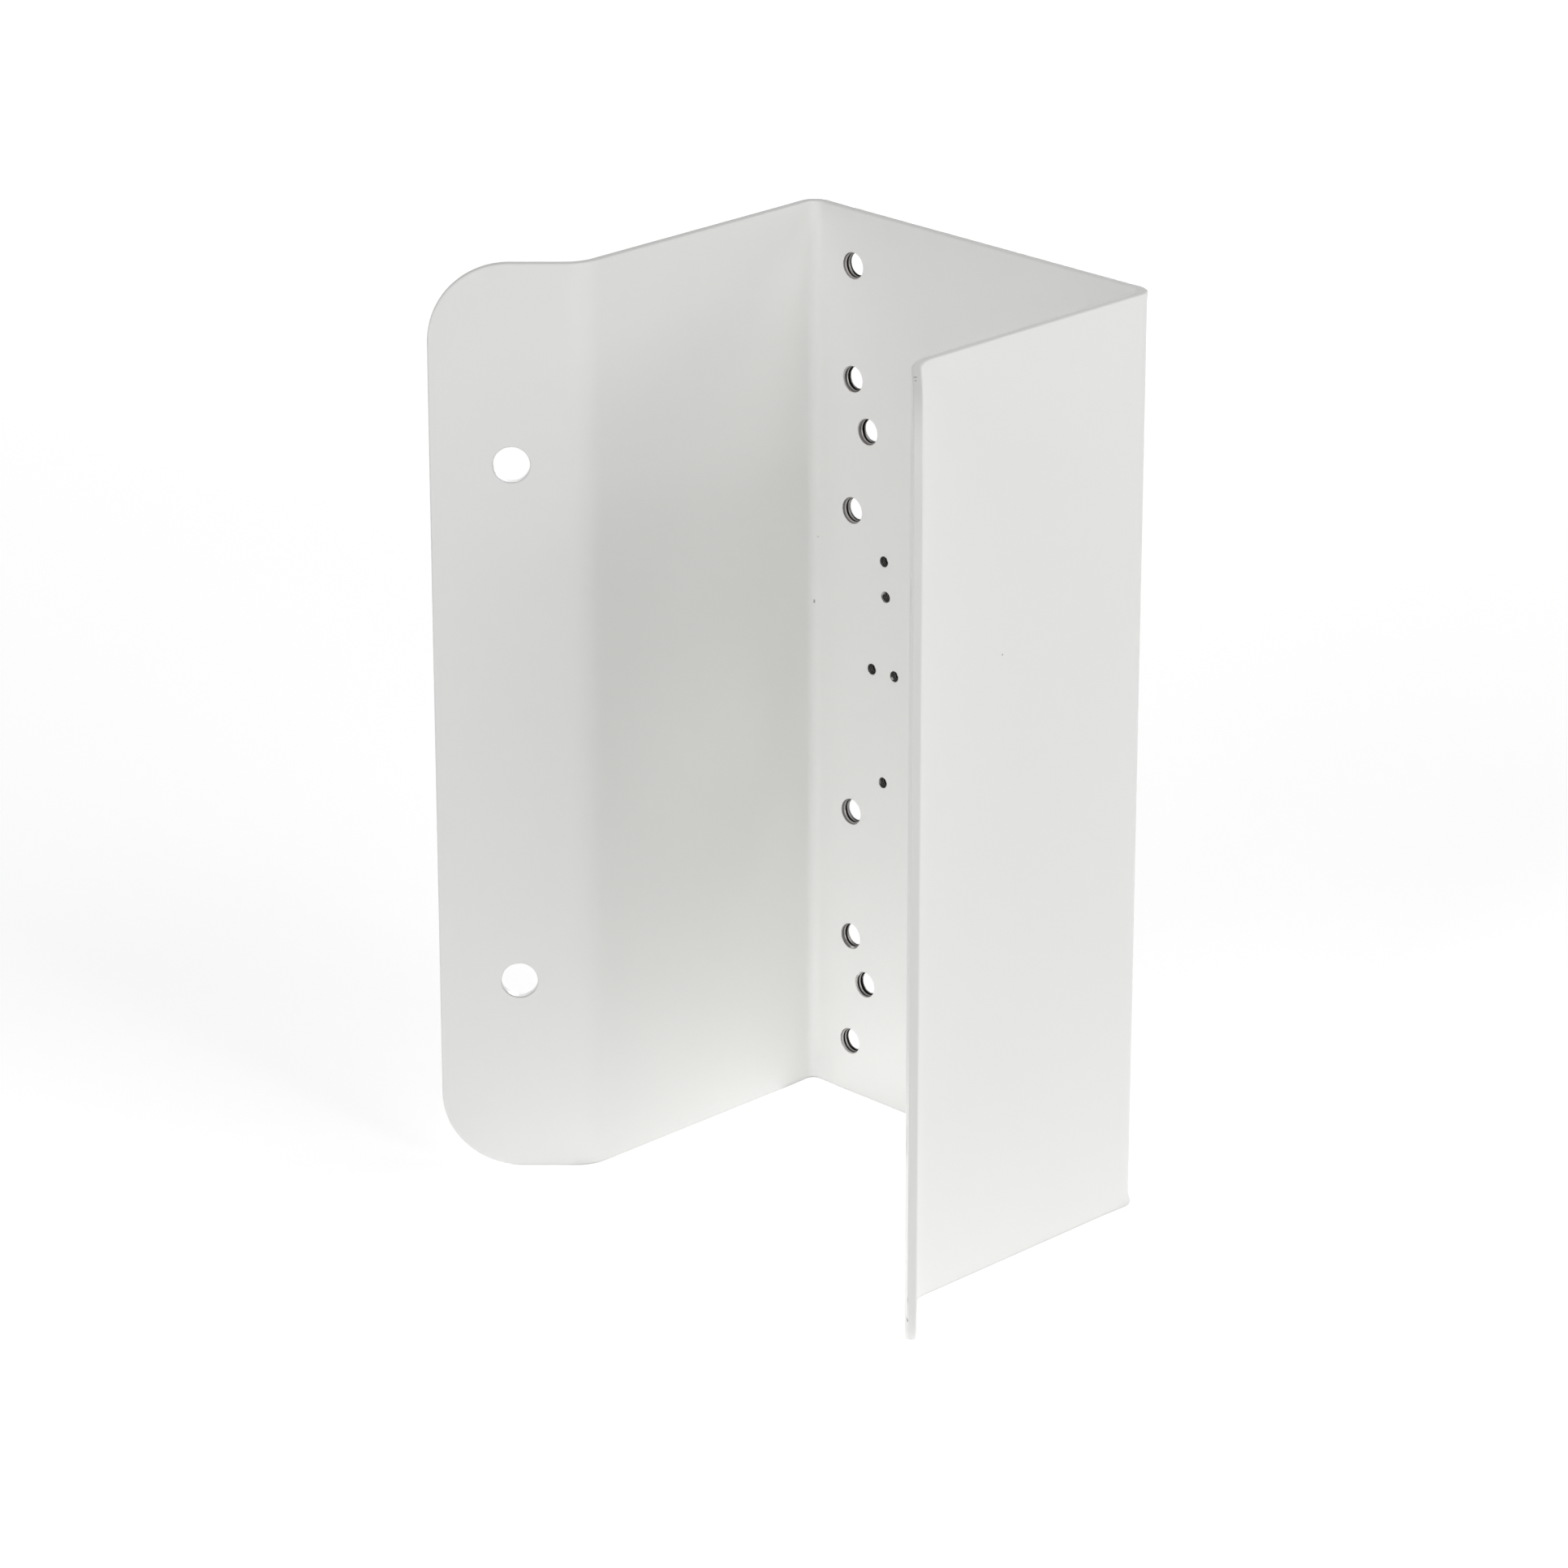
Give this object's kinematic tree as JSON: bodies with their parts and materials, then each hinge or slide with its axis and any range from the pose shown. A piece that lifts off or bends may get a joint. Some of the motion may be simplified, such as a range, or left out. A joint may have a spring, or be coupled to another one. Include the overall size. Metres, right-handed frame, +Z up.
{
  "type": "camera corner bracket",
  "caption": "Folded sheet steel bracket that holds a security camera on the outside corner of a building; white powder coat, tapped hole patterns in its plate.",
  "frame": {"origin": "middle of the bounding box, on the bottom edge", "axes": "+Z up along the folds, +Y out of the plate and away from the building, +X to the right of one who looks along +Y"},
  "size_m": [0.1746, 0.1136, 0.25],
  "materials": {
    "powder_coat": "near-white powder coat, satin, with a fine grain"
  },
  "bodies": {
    "root": {"corner_bracket": "powder_coat"}
  },
  "joints": []
}
